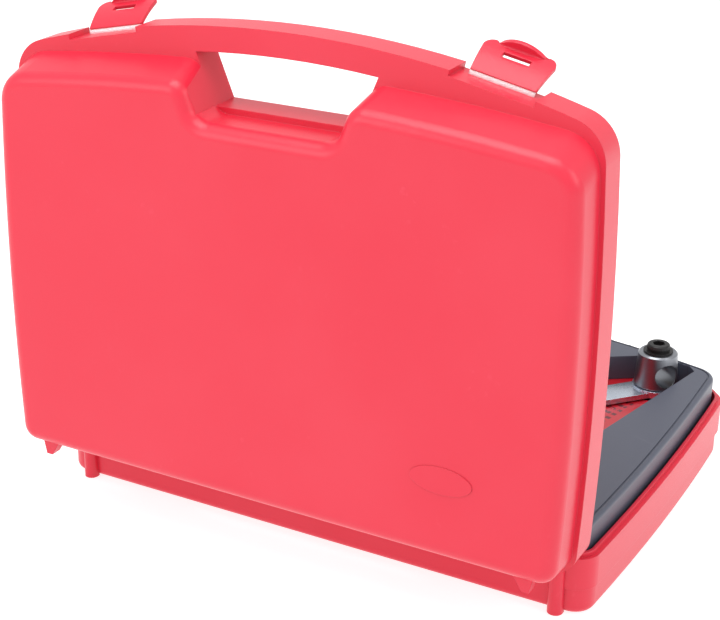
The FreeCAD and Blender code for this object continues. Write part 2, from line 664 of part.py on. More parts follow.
def make_film_bead(side, name):
    """Film hinge drawn as the bead that the latch folds about."""
    axis, along, outward = latch_frame(side)
    start = axis - along * (d.latch_root / 2) + V(0, 0, parting_z + d.latch_axis_height)
    bead = cylinder("film_bead", "Sizes.film_bead_diameter", "Sizes.latch_root", start, along)
    web_length = d.latch_pocket_depth - d.latch_axis_inset
    web = box("film_web", "Sizes.latch_pocket_depth - Sizes.latch_axis_inset", "Sizes.latch_root",
              "Sizes.film_web_thickness", V(0, 0, 0))
    corner = start - outward * web_length - V(0, 0, d.film_web_thickness / 2)
    web.Placement = FreeCAD.Placement(corner, FreeCAD.Rotation(outward, along, V(0, 0, 1), "XYZ"))
    strip = fuse(name, [bead, web])
    strip.Placement = lid_place()
    node(strip, name)


# Deck with its fan-shaped window

def make_deck():
    outer = new_body("deck_outer")
    height = "Sizes.deck_top - Sizes.deck_skirt_bottom"
    pad(outer, outline(d.deck_inset), "Sizes.deck_skirt_bottom", height)
    bay = pocket(outer, deck_bay(0), "0", "2 * Sizes.deck_top")
    round_edges(outer, bay, d.deck_top, "Sizes.deck_edge_radius")
    pocket(outer, window(0, 0), "0", "2 * Sizes.deck_top")
    groove_inset = d.deck_inset + d.deck_groove_inset
    pocket(outer, outline(groove_inset) + outline(groove_inset + d.deck_groove_width),
           "Sizes.deck_top - Sizes.deck_groove_depth", "2 * Sizes.deck_groove_depth")
    cavity = new_body("deck_cavity")
    pad(cavity, outline(d.deck_inset + d.deck_wall), "Sizes.deck_skirt_bottom",
        "Sizes.deck_top - Sizes.deck_skirt_bottom - Sizes.deck_wall")
    pocket(cavity, deck_bay(d.deck_wall), "0", "2 * Sizes.deck_top")
    pocket(cavity, window(d.deck_wall, d.deck_wall), "Sizes.plate_top + Sizes.parting_gap",
           "2 * Sizes.deck_top")
    pillars = [cut("deck_moulding", outer, cavity)]
    for point in deck_pillars:
        bottom = V(point.x, point.y, d.deck_pillar_bottom)
        pillars.append(cylinder("deck_pillar", "Sizes.deck_pillar_diameter",
                                "Sizes.deck_top - Sizes.deck_wall / 2 - Sizes.deck_pillar_bottom", bottom))
    holes = fuse("deck_holes", deck_screw_holes("deck"))
    node(cut("deck", fuse("deck_built", pillars), holes), "deck")


def deck_bay(grow):
    """Bay in the front of the deck that leaves room for the hand hole."""
    half = d.deck_bay_half + grow
    low = hand_floor_y + d.wall_thickness + d.deck_bay_gap + grow
    high = front_apex_y - d.deck_bay_gap
    return polygon([V(-half, low, 0), V(half, low, 0), V(half, high, 0), V(-half, high, 0)])


def deck_screw_holes(owner):
    """Clearance holes from the underside with counterbores."""
    holes = []
    depth = "Sizes.deck_screw_length + Sizes.deck_screw_head_height + 2 * Sizes.hole_beyond"
    for point in deck_pillars:
        holes.append(cylinder(owner + "_screw_hole", "Sizes.deck_screw_diameter + 2 * Sizes.screw_clearance",
                              depth, point))
        holes.append(cylinder(owner + "_counterbore",
                              "Sizes.deck_screw_head + 2 * Sizes.counterbore_clearance",
                              "Sizes.deck_screw_head_height + Sizes.counterbore_clearance", point))
    return holes


def block_screw_points():
    return [pivot + polar(d.block_turn + turn, d.block_screw_circle / 2) for turn in (0, 180)]


def block_flange(name, grow, bottom, height):
    """Two-bolt flange: a round middle that runs into an ear at each end."""
    middle = d.block_flange_diameter / 2 + grow
    ear = d.block_ear_diameter / 2 + grow
    reach = d.block_screw_circle / 2
    lean = math.degrees(math.acos((middle - ear) / reach))
    top_middle = polar(lean, middle)
    top_ear = polar(lean, ear) + V(reach, 0, 0)
    curves = [arc(top_middle, V(0, middle, 0), mirrored(top_middle)),
              arc(flipped(top_middle), V(0, -middle, 0), flipped(mirrored(top_middle)))]
    for near, far, end in ((top_middle, top_ear, V(reach + ear, 0, 0)),
                           (mirrored(top_middle), mirrored(top_ear), V(-reach - ear, 0, 0))):
        curves.append(line(near, far))
        curves.append(arc(flipped(far), end, far))
        curves.append(line(flipped(far), flipped(near)))
    plate = new_body(name)
    pad(plate, curves, bottom, height)
    plate.Placement = pivot_place(angle=d.block_turn)
    return plate


def block_screw_bottom():
    return block_bottom + d.block_flange_height - d.block_screw_length


def make_deck_screws():
    """Pan-head screws from the underside of the base."""
    head_z = d.counterbore_clearance
    shoulder = head_z + d.deck_screw_head_height
    tip = shoulder + d.deck_screw_length
    head = d.deck_screw_head / 2
    shank = d.deck_screw_diameter / 2
    profile = [(0, head_z), (head, head_z), (head, shoulder), (shank, shoulder), (shank, tip), (0, tip)]
    node(group("deck_screws", turned_copies("deck_screw", profile, deck_pillars)), "deck_screws")


def turned_copies(name, profile, points):
    """The same turned fastener at several places."""
    copies = []
    for point in points:
        fastener = new_body(name)
        revolve(fastener, profile)
        fastener.Placement = FreeCAD.Placement(point, FreeCAD.Rotation())
        copies.append(fastener)
    return copies


def ring(name, outer, inner, height, bottom):
    """Plain ring about the pivot axis, its sizes given as expressions."""
    place = pivot + V(0, 0, bottom)
    disc = cylinder(name + "_disc", outer, height, place)
    return cut(name, disc, cylinder(name + "_hole", inner, height, place))


# Scale plate and its countersunk screws

def make_scale_plate():
    fan = new_body("plate_fan")
    pad(fan, window(d.plate_overlap, d.plate_front_overlap), "Sizes.plate_top - Sizes.plate_thickness",
        "Sizes.plate_thickness")
    room = new_body("plate_room")
    pad(room, outline(d.deck_inset + d.deck_wall + d.parting_gap), "Sizes.plate_top - Sizes.plate_thickness",
        "Sizes.plate_thickness")
    plate = common("plate_blank", [fan, room])
    holes = [cylinder("plate_hole", "Sizes.plate_hole_diameter", "Sizes.plate_top", pivot)]
    for point in plate_screw_points():
        sink = doc.addObject("Part::Cone", "plate_sink")
        size(sink, "Radius1", "Sizes.plate_screw_diameter / 2 + Sizes.screw_clearance")
        size(sink, "Radius2", "Sizes.plate_screw_head / 2 + Sizes.screw_clearance")
        size(sink, "Height", "Sizes.plate_thickness")
        sink.Placement = FreeCAD.Placement(V(point.x, point.y, plate_bottom), FreeCAD.Rotation())
        holes.append(sink)
    node(cut("scale_plate", plate, fuse("plate_holes", holes)), "scale_plate")
    shank = d.plate_screw_diameter / 2
    profile = [(0, d.plate_top), (d.plate_screw_head / 2, d.plate_top), (shank, plate_bottom),
               (shank, d.plate_top - d.plate_screw_length), (0, d.plate_top - d.plate_screw_length)]
    screws = turned_copies("plate_screw", profile, plate_screw_points())
    node(group("plate_screws", screws), "plate_screws")


# Bearing block with bushes, under the scale plate

def make_bearing():
    flange_top = block_bottom + d.block_flange_height
    recess_top = block_bottom + d.block_recess_height
    flange = block_flange("block_flange", 0, "Sizes.wall_thickness + Sizes.block_pad_height",
                          "Sizes.block_flange_height")
    rise = "Sizes.block_top - Sizes.wall_thickness - Sizes.block_pad_height"
    barrel = cylinder("block_barrel", "Sizes.block_diameter", rise, pivot + V(0, 0, block_bottom))
    housing = fuse("block_housing", [flange, barrel])
    holes = [cylinder("bush_bore", "Sizes.bush_outer", "Sizes.block_top", pivot),
             cylinder("ring_recess", "Sizes.block_recess_diameter", "Sizes.block_recess_height",
                      pivot + V(0, 0, block_bottom))]
    for point in block_screw_points():
        holes.append(cylinder("block_hole", "Sizes.block_screw_diameter + 2 * Sizes.screw_clearance",
                              "Sizes.block_top", point))
    node(cut("bearing_block", housing, fuse("block_holes", holes)), "bearing_block")
    head = d.block_screw_head / 2
    shank = d.block_screw_diameter / 2
    head_top = flange_top + d.block_screw_head_height
    profile = [(0, head_top), (head, head_top), (head, flange_top), (shank, flange_top),
               (shank, block_screw_bottom()), (0, block_screw_bottom())]
    screws = turned_copies("block_screw", profile, block_screw_points())
    node(group("block_screws", screws), "block_screws")
    inner = "Sizes.spindle_diameter + 2 * Sizes.spindle_clearance"
    upper_bottom = d.block_top - d.bush_length
    node(ring("lower_bush", "Sizes.bush_outer", inner, "Sizes.bush_length", recess_top), "lower_bush")
    node(ring("upper_bush", "Sizes.bush_outer", inner, "Sizes.bush_length", upper_bottom), "upper_bush")
    washer = ring("thrust_washer", "Sizes.spindle_flange_diameter", inner, "Sizes.thrust_washer_thickness",
                  d.block_top)
    node(washer, "thrust_washer")


# Spindle with its retaining ring

def make_spindle():
    shaft = d.spindle_diameter / 2
    flange_bottom = d.block_top + d.thrust_washer_thickness
    ring_top = block_bottom + d.block_recess_height - d.ring_end_play
    ring_bottom = ring_top - d.ring_thickness
    groove = shaft - d.ring_groove_depth
    spindle = new_body("spindle_blank")
    flange = d.spindle_flange_diameter / 2
    revolve(spindle, [(0, d.spindle_bottom), (shaft, d.spindle_bottom), (shaft, ring_bottom),
                      (groove, ring_bottom), (groove, ring_top), (shaft, ring_top), (shaft, flange_bottom),
                      (flange, flange_bottom), (flange, d.arm_bottom), (shaft, d.arm_bottom),
                      (shaft, stub_top), (0, stub_top)])
    spindle.Placement = pivot_place()
    holes = fuse("spindle_dowel_holes", dowel_holes())
    node(cut("pivot_spindle", spindle, holes), "pivot_spindle")
    band = ring("ring_band", "Sizes.ring_outer", "Sizes.spindle_diameter - 2 * Sizes.ring_groove_depth",
                "Sizes.ring_thickness", ring_bottom)
    opening = box("ring_opening", "Sizes.ring_outer", "Sizes.ring_opening", "Sizes.ring_thickness",
                  pivot + V(0, -d.ring_opening / 2, ring_bottom))
    node(cut("retaining_ring", band, opening), "retaining_ring")


def dowel_points():
    return [pivot + polar(d.arm_angle + turn, d.dowel_circle / 2) for turn in (0, 180)]


def dowel_bottom():
    return arm_top + d.arm_disc_thickness + d.spindle_stub_reach - d.dowel_length


def dowel_holes():
    """Close holes for the two dowels."""
    return [cylinder("dowel_hole", "Sizes.dowel_diameter + 2 * Sizes.dowel_clearance", "Sizes.dowel_length",
                     point + V(0, 0, dowel_bottom())) for point in dowel_points()]


# Arm, disc and dowels

def make_arm():
    half = d.arm_width / 2
    eye = d.arm_eye_diameter / 2
    neck = math.sqrt(eye ** 2 - half ** 2)
    taper = arm_length - d.arm_taper
    tip = d.arm_tip_width / 2
    edge = [V(neck, -half, 0), V(taper, -half, 0), V(arm_length, -tip, 0),
            V(arm_length, tip, 0), V(taper, half, 0), V(neck, half, 0)]
    curves = [line(start, end) for start, end in zip(edge, edge[1:])]
    curves.append(arc(edge[-1], V(-eye, 0, 0), edge[0]))
    blank = new_body("arm_blank")
    pad(blank, curves, "Sizes.arm_bottom", "Sizes.arm_thickness")
    pocket(blank, [circle(V(0, 0, 0), bush_inner)], "0", "2 * Sizes.arm_bottom")
    blank.Placement = pivot_place(angle=d.arm_angle)
    node(cut("pointer_arm", blank, fuse("arm_dowel_holes", dowel_holes())), "pointer_arm")
    inner = "Sizes.spindle_diameter + 2 * Sizes.spindle_clearance"
    disc = ring("disc_blank", "Sizes.arm_disc_diameter", inner, "Sizes.arm_disc_thickness", arm_top)
    node(cut("arm_disc", disc, fuse("disc_dowel_holes", dowel_holes())), "arm_disc")
    lift = V(0, 0, dowel_bottom())
    dowels = [cylinder("dowel", "Sizes.dowel_diameter", "Sizes.dowel_length", point + lift)
              for point in dowel_points()]
    node(group("post_dowels", dowels), "post_dowels")


# Clamp post, screw, washer and pressure pad

def make_clamp():
    foot = d.post_base_diameter / 2
    crown = d.post_top_diameter / 2
    post = new_body("post_blank")
    revolve(post, [(0, post_bottom), (foot - d.post_edge, post_bottom), (foot, post_bottom + d.post_edge),
                   (crown, post_top - d.post_edge), (crown - d.post_edge, post_top), (0, post_top)])
    post.Placement = pivot_place()
    way = polar(d.arm_angle + d.post_bore_angle)
    bore_start = pivot + V(0, 0, bore_z) - way * d.post_base_diameter
    holes = dowel_holes()
    holes.append(cylinder("stub_hole", "Sizes.spindle_diameter + 2 * Sizes.spindle_clearance",
                          "Sizes.spindle_stub_reach + Sizes.dowel_clearance", pivot + V(0, 0, post_bottom)))
    holes.append(cylinder("tube_bore", "Sizes.post_bore_diameter", "2 * Sizes.post_base_diameter",
                          bore_start, way))
    holes.append(cylinder("thread_hole", "Sizes.screw_diameter + 2 * Sizes.screw_clearance",
                          "Sizes.post_height", pivot + V(0, 0, bore_z)))
    node(cut("clamp_post", post, fuse("post_holes", holes)), "clamp_post")
    node(ring("screw_washer", "Sizes.head_washer_outer", "Sizes.screw_diameter + 2 * Sizes.washer_clearance",
              "Sizes.head_washer_thickness", post_top), "screw_washer")

    head = d.screw_head_diameter / 2
    shank = d.screw_diameter / 2
    head_top = washer_top + d.screw_head_height
    screw = new_body("clamp_screw")
    revolve(screw, [(0, screw_tip), (shank, screw_tip), (shank, washer_top), (head, washer_top),
                    (head, head_top - d.screw_head_edge), (head - d.screw_head_edge, head_top),
                    (0, head_top)])
    corners = [polar(60 * turn, d.screw_hex / math.sqrt(3)) for turn in range(6)]
    socket_floor = ("Sizes.arm_bottom + Sizes.arm_thickness + Sizes.arm_disc_thickness + Sizes.post_height"
                    " + Sizes.head_washer_thickness + Sizes.screw_head_height - Sizes.screw_hex_depth")
    pocket(screw, polygon(corners), socket_floor, "2 * Sizes.screw_hex_depth")
    screw.Placement = pivot_place()
    node(screw, "clamp_screw")
    pad_bottom = pivot + V(0, 0, screw_tip - d.pad_height)
    node(cylinder("clamp_pad", "Sizes.pad_diameter", "Sizes.pad_height", pad_bottom), "clamp_pad")


make_base()
make_lid()
make_hinge_pins()
make_latch(-1, "latch_left")
make_latch(1, "latch_right")
make_film_bead(-1, "film_hinge_left")
make_film_bead(1, "film_hinge_right")
make_deck()
make_deck_screws()
make_scale_plate()
make_bearing()
make_spindle()
make_arm()
make_clamp()
doc.recompute()

for feature in doc.Objects:
    if "Invalid" in feature.State or "Error" in feature.State:
        raise RuntimeError("%s did not build: %s" % (feature.Name, feature.State))
os.makedirs("parts", exist_ok=True)
for feature in nodes:
    if feature.Shape.isNull() or not feature.Shape.isValid():
        raise RuntimeError("%s has no valid shape" % feature.Label)
    feature.Shape.exportStep("parts/%s.step" % feature.Label)
    print(feature.Label, len(feature.Shape.Solids), round(feature.Shape.Volume))
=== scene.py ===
"""Tube tester in a red carrying case: finishes, fine shapes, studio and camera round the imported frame."""
import json
import logging
import math
from dataclasses import dataclass, field
from enum import Enum
from typing import Any, Sequence

import bpy
import numpy as np
from mathutils import Matrix, Vector


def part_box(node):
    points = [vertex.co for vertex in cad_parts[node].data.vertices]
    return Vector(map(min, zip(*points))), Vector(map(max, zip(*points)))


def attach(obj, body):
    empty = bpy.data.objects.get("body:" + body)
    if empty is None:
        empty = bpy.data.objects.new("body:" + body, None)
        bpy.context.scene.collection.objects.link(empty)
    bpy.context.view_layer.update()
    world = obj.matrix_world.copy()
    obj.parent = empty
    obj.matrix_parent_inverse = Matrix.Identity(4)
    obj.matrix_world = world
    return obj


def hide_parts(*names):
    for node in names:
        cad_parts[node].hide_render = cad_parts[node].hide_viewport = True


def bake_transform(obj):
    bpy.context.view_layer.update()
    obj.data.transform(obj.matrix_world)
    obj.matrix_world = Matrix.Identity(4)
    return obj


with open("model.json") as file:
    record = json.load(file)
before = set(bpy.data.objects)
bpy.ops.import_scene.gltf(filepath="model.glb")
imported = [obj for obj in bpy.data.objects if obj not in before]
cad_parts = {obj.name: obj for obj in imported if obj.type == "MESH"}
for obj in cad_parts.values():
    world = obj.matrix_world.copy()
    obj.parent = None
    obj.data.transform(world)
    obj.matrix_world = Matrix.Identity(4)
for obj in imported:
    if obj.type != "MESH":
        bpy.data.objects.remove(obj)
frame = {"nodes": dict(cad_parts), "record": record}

LOG = logging.getLogger("tube_tester")
MILLIMETRE = 0.001
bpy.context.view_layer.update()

WHITE = (1.0, 1.0, 1.0)
NOISE_ROUGHNESS = 0.55
BEVEL_SAMPLES = 4
# A Mix node's factor and two colours among its inputs, and its colour among its outputs
MIX_INPUTS = (0, 6, 7)
MIX_RESULT = 2

Colour = tuple[float, float, float]
Span = tuple[float, float]
Point = Sequence[float]


class Side(Enum):
    """The two sides of the case, seen from its front."""

    LEFT = "left"
    RIGHT = "right"


class Grain(Enum):
    """Ways a metal surface is worked; each holds the marks to the metre along X, Y and Z."""

    ALONG = (6.0, 900.0, 400.0)
    TURNED = (14.0, 14.0, 2600.0)
    CAST = (260.0, 260.0, 260.0)


# Shader sockets and nodes

class Value:
    """A number socket of a shader; arithmetic on it adds Math nodes."""

    def __init__(self, paint: "Paint", socket: Any) -> None:
        """Keep the socket and the material it belongs to."""
        self.paint = paint
        self.socket = socket

    def __add__(self, other: Any) -> "Value":
        """This plus another."""
        return self.paint.math("ADD", self, other)

    __radd__ = __add__

    def __mul__(self, other: Any) -> "Value":
        """This times another."""
        return self.paint.math("MULTIPLY", self, other)

    __rmul__ = __mul__

    def __sub__(self, other: Any) -> "Value":
        """This less another."""
        return self.paint.math("SUBTRACT", self, other)

    def __rsub__(self, other: Any) -> "Value":
        """Another less this."""
        return self.paint.math("SUBTRACT", other, self)

    def __mod__(self, other: Any) -> "Value":
        """Remainder, never negative for a positive divisor."""
        return self.paint.math("FLOORED_MODULO", self, other)

    def __pow__(self, other: Any) -> "Value":
        """This to a power."""
        return self.paint.math("POWER", self, other)

    def __abs__(self) -> "Value":
        """Size without sign."""
        return self.paint.math("ABSOLUTE", self)

    def __lt__(self, other: Any) -> "Value":
        """1 where this is below another, else 0."""
        return self.paint.math("LESS_THAN", self, other)

    def __gt__(self, other: Any) -> "Value":
        """1 where this is above another, else 0."""
        return self.paint.math("GREATER_THAN", self, other)

    def between(self, low: float, high: float) -> "Value":
        """1 where this lies between two numbers, else 0."""
        return (self > low) * (self < high)

    def off(self, step: float) -> "Value":
        """Distance to the nearest multiple of a step."""
        return abs((self + step / 2) % step - step / 2)

    def ramp(self, low: float, high: float) -> "Value":
        """Smooth rise from 0 at low to 1 at high."""
        node = self.paint.node("ShaderNodeMapRange", {"interpolation_type": "SMOOTHSTEP"},
                               {0: self, 1: low, 2: high, 3: 0.0, 4: 1.0})
        return Value(self.paint, node.outputs[0])


class Paint:
    """One material under construction, with a Principled shader and Object coordinates."""

    def __init__(self, name: str) -> None:
        """Start an empty material.

        Args:
            name: the material's name.
        """
        self.material = bpy.data.materials.new(name)
        self.material.use_nodes = True
        self.tree = self.material.node_tree
        self.shader = self.tree.nodes["Principled BSDF"]
        self.place = self.node("ShaderNodeTexCoord", {}, {}).outputs["Object"]

    def node(self, kind: str, settings: dict[str, Any], sockets: dict[Any, Any]) -> Any:
        """Add a node.

        Args:
            kind: the node's type.
            settings: its properties, set first.
            sockets: what each input takes, by the input's name or number.

        Returns:
            The new node.
        """
        made = self.tree.nodes.new(kind)
        for name, setting in settings.items():
            setattr(made, name, setting)
        for key, given in sockets.items():
            self.feed(made.inputs[key], given)
        return made

    def feed(self, socket: Any, given: Any) -> None:
        """Link or set one input socket.

        Args:
            socket: the input.
            given: a socket, a Value, a number, a vector or a colour without its alpha.
        """
        source = given.socket if isinstance(given, Value) else given
        if isinstance(source, bpy.types.NodeSocket):
            self.tree.links.new(source, socket)
        elif socket.type == "RGBA":
            socket.default_value = (*source, 1.0)
        else:
            socket.default_value = source

    def math(self, operation: str, first: Any, second: Any = 0.0) -> Value:
        """Add one Math node.

        Args:
            operation: the node's operation.
            first: its first number or socket.
            second: its second number or socket.

        Returns:
            The node's result.
        """
        node = self.node("ShaderNodeMath", {"operation": operation}, {0: first, 1: second})
        return Value(self, node.outputs[0])

    def axis(self, which: str, point: Any) -> Value:
        """One coordinate of a point, in metres."""
        node = self.node("ShaderNodeSeparateXYZ", {}, {0: point})
        return Value(self, node.outputs[which])

    def mapped(self, shift: Point = (0, 0, 0), turn: float = 0.0, scale: Point = (1, 1, 1)) -> Any:
        """Object coordinates moved, then turned about Z, then stretched.

        Args:
            shift: move in metres.
            turn: turn in degrees.
            scale: stretch of each axis.

        Returns:
            The new coordinates' socket.
        """
        moved = self.node("ShaderNodeMapping", {}, {"Vector": self.place, "Location": tuple(shift)})
        turned = self.node("ShaderNodeMapping", {}, {
            "Vector": moved.outputs[0], "Rotation": (0, 0, math.radians(turn))})
        return self.node("ShaderNodeMapping", {}, {
            "Vector": turned.outputs[0], "Scale": tuple(scale)}).outputs[0]

    def noise(self, scale: float, detail: float = 3.0, point: Any = None) -> Value:
        """Smooth noise from 0 to 1.

        Args:
            scale: marks to the metre.
            detail: layers of finer noise on it.
            point: the coordinates it lies in, or None for Object coordinates.

        Returns:
            The noise.
        """
        node = self.node("ShaderNodeTexNoise", {}, {
            "Vector": point or self.place, "Scale": scale, "Detail": detail, "Roughness": NOISE_ROUGHNESS})
        return Value(self, node.outputs[0])

    def stretched(self, marks: Point, detail: float, turn: float = 0.0) -> Value:
        """Noise with its own number of marks to the metre along each axis, turned about Z by degrees."""
        return self.noise(1.0, detail, self.mapped(turn=turn, scale=marks))

    def mix(self, share: Any, first: Any, second: Any) -> Any:
        """A colour between two colours.

        Args:
            share: 0 for the first, 1 for the second.
            first: a colour or a colour socket.
            second: the other one.

        Returns:
            The mixed colour's socket.
        """
        given = dict(zip(MIX_INPUTS, (share, first, second)))
        return self.node("ShaderNodeMix", {"data_type": "RGBA"}, given).outputs[MIX_RESULT]

    def bump(self, height: Value, depth: float, strength: float = 1.0, edge: float = 0.0) -> None:
        """Raise the surface by a height from 0 to 1, over edges eased to a radius.

        Args:
            height: the relief.
            depth: what a height of 1 stands for, in metres.
            strength: share of the effect.
            edge: radius of the eased edges in metres, or 0 for sharp ones.
        """
        node = self.node("ShaderNodeBump", {}, {
            "Height": height, "Distance": depth, "Strength": strength})
        if edge > 0:
            eased = self.node("ShaderNodeBevel", {"samples": BEVEL_SAMPLES}, {"Radius": edge})
            self.feed(node.inputs["Normal"], eased.outputs[0])
        self.feed(self.shader.inputs["Normal"], node.outputs[0])

    def finish(self, **sockets: Any) -> Any:
        """Set the shader's inputs, written with underscores for spaces.

        Args:
            sockets: what each input takes.

        Returns:
            The finished material.
        """
        for name, given in sockets.items():
            self.feed(self.shader.inputs[name.replace("_", " ")], given)
        return self.material


# Finishes

@dataclass(frozen=True)
class MouldedPlastic:
    """Injection-moulded plastic: one body colour, a fine spark grain, handling scuffs and eased edges.

    Grain, drift, streaks and patches are in marks to the metre, and lengths are in metres.
    """

    name: str
    colour: Colour
    worn: Colour
    roughness: float
    scuff: float
    specular: float = 0.45
    glow: float = 0.0
    glow_reach: float = 0.004
    glow_spread: Point = (1.0, 0.25, 0.2)
    edge: float = 0.0007
    grain: float = 2600.0
    grain_detail: float = 2.0
    grain_depth: float = 0.00004
    drift: float = 9.0
    drift_span: Span = (0.3, 0.8)
    drift_share: float = 0.10
    drift_dulling: float = 0.10
    streak_marks: Point = (38, 420, 160)
    streak_detail: float = 4.0
    streak_turn: float = 24.0
    streak_span: Span = (0.60, 0.74)
    patch: float = 14.0
    patch_span: Span = (0.5, 0.68)
    scuff_relief: float = 0.6
    scuff_dulling: float = 0.15

    def material(self) -> Any:
        """Colour drifts a little, worn streaks in patches lighten it, and roughness follows both.

        Returns:
            The material.
        """
        paint = Paint(self.name)
        drift = paint.noise(self.drift)
        streak = paint.stretched(self.streak_marks, self.streak_detail, self.streak_turn)
        patch = paint.noise(self.patch).ramp(*self.patch_span)
        worn = streak.ramp(*self.streak_span) * patch * self.scuff
        share = worn + drift.ramp(*self.drift_span) * self.drift_share
        dulling = drift * self.drift_dulling + worn * self.scuff_dulling
        grain = paint.noise(self.grain, self.grain_detail)
        paint.bump(grain + worn * self.scuff_relief, self.grain_depth, edge=self.edge)
        return paint.finish(
            Base_Color=paint.mix(share, self.colour, self.worn),
            Roughness=dulling + (self.roughness - self.drift_dulling / 2),
            Specular_IOR_Level=self.specular, Subsurface_Weight=self.glow,
            Subsurface_Scale=self.glow_reach, Subsurface_Radius=self.glow_spread)


@dataclass(frozen=True)
class WorkedMetal:
    """Metal with brushed, turned or cast marks, handling stains and eased edges.

    Stains are in marks to the metre, lengths in metres, and the turn of the marks in degrees.
    """

    name: str
    colour: Colour
    stained: Colour
    roughness: float
    grain: Grain
    turn: float = 0.0
    metallic: float = 1.0
    edge: float = 0.0004
    mark_detail: float = 4.0
    mark_depth: float = 0.00002
    mark_strength: float = 0.7
    mark_share: float = 0.25
    mark_dulling: float = 0.16
    stain: float = 42.0
    stain_detail: float = 4.0
    stain_span: Span = (0.45, 0.80)
    stain_share: float = 0.5
    stain_dulling: float = 0.12

    def material(self) -> Any:
        """Stretched noise gives the marks; broad noise stains the colour and dulls it.

        Returns:
            The material.
        """
        paint = Paint(self.name)
        marks = paint.stretched(self.grain.value, self.mark_detail, -self.turn)
        stain = paint.noise(self.stain, self.stain_detail).ramp(*self.stain_span)
        share = stain * self.stain_share + marks * self.mark_share
        dulling = marks * self.mark_dulling + stain * self.stain_dulling
        paint.bump(marks, self.mark_depth, self.mark_strength, self.edge)
        return paint.finish(
            Base_Color=paint.mix(share, self.colour, self.stained), Metallic=self.metallic,
            Roughness=dulling + (self.roughness - self.mark_dulling / 2))


@dataclass(frozen=True)
class PrintedPlate:
    """Red painted plate with scale arcs, tick marks and plain bars printed round the arm's pivot.

    Lengths are in metres, angles and the steps of ticks and blocks in degrees.
    """

    name: str
    colour: Colour
    ink: Colour
    pivot: Point
    angles: Span = (36.0, 78.0)
    arcs: tuple[float, ...] = (0.078, 0.118, 0.158, 0.205)
    arc_half: float = 0.00045
    tick_half: float = 0.0004
    fine_step: float = 1.0
    fine_length: float = 0.006
    coarse_step: float = 5.0
    coarse_length: float = 0.012
    bar_pitch: float = 0.0074
    bar_half: float = 0.0018
    block_step: float = 7.0
    block_half: float = 2.9
    first_bars: float = 0.020
    first_length: float = 0.046
    bars_beyond: float = 0.016
    bars_length: float = 0.022
    gap_marks: Point = (330, 130, 1)
    gap_detail: float = 1.0
    gap_level: float = 0.42
    ink_share: float = 0.9
    grain: float = 1500.0
    grain_detail: float = 2.0
    grain_depth: float = 0.00002
    grain_strength: float = 0.6
    roughness: float = 0.30
    gloss: float = 60.0
    gloss_change: float = 0.12
    coat: float = 0.25
    coat_roughness: float = 0.25

    def scale(self, radius: Value, angle: Value) -> Value:
        """Arcs round the pivot, with fine and coarse tick marks standing on each.

        Args:
            radius: distance from the pivot in metres.
            angle: direction from the pivot in degrees.

        Returns:
            1 or more on a line, else 0.
        """
        ink = sum(abs(radius - arc) < self.arc_half for arc in self.arcs)
        for step, length in ((self.fine_step, self.fine_length), (self.coarse_step, self.coarse_length)):
            tick = angle.off(step) * radius * math.radians(1) < self.tick_half
            ink = ink + tick * sum(radius.between(arc, arc + length) for arc in self.arcs)
        return ink

    def bars(self, paint: Paint, radius: Value, angle: Value) -> Value:
        """Rows of plain bars near the pivot and beyond each arc but the last, in blocks with uneven gaps.

        Args:
            paint: the material.
            radius: distance from the pivot in metres.
            angle: direction from the pivot in degrees.

        Returns:
            1 on a bar, else 0.
        """
        rows = [(self.first_bars, self.first_length)]
        rows += [(arc + self.bars_beyond, self.bars_length) for arc in self.arcs[:-1]]
        bar = radius.off(self.bar_pitch) < self.bar_half
        block = angle.off(self.block_step) < self.block_half
        whole = paint.stretched(self.gap_marks, self.gap_detail) > self.gap_level
        return bar * block * whole * sum(radius.between(start, start + length) for start, length in rows)

    def material(self) -> Any:
        """Radius and angle about the pivot place each arc, tick and bar; paint grain lies over all.

        Returns:
            The material.
        """
        paint = Paint(self.name)
        point = paint.mapped(shift=(-self.pivot[0], -self.pivot[1], 0))
        across, along = paint.axis("X", point), paint.axis("Y", point)
        radius = (across * across + along * along) ** 0.5
        angle = paint.math("ARCTAN2", along, across) * math.degrees(1)
        ink = paint.math("MINIMUM", self.scale(radius, angle) + self.bars(paint, radius, angle), 1.0)
        share = ink * angle.between(*self.angles) * self.ink_share
        paint.bump(paint.noise(self.grain, self.grain_detail), self.grain_depth, self.grain_strength)
        return paint.finish(
            Base_Color=paint.mix(share, self.colour, self.ink),
            Roughness=paint.noise(self.gloss) * self.gloss_change + self.roughness,
            Coat_Weight=self.coat, Coat_Roughness=self.coat_roughness)


@dataclass(frozen=True)
class Film:
    """Thin pale strip of bent plastic, milky where it has been folded."""

    name: str
    colour: Colour
    milky: Colour
    fold_marks: Point = (120, 1500, 1500)
    fold_detail: float = 3.0
    fold_span: Span = (0.4, 0.7)
    fold_depth: float = 0.00005
    fold_dulling: float = 0.2
    roughness: float = 0.22
    clearness: float = 0.35
    refraction: float = 1.46

    def material(self) -> Any:
        """Fold lines run along the strip and whiten it.

        Returns:
            The material.
        """
        paint = Paint(self.name)
        folds = paint.stretched(self.fold_marks, self.fold_detail).ramp(*self.fold_span)
        paint.bump(folds, self.fold_depth)
        return paint.finish(
            Base_Color=paint.mix(folds, self.colour, self.milky),
            Roughness=folds * self.fold_dulling + self.roughness,
            Transmission_Weight=self.clearness, IOR=self.refraction)


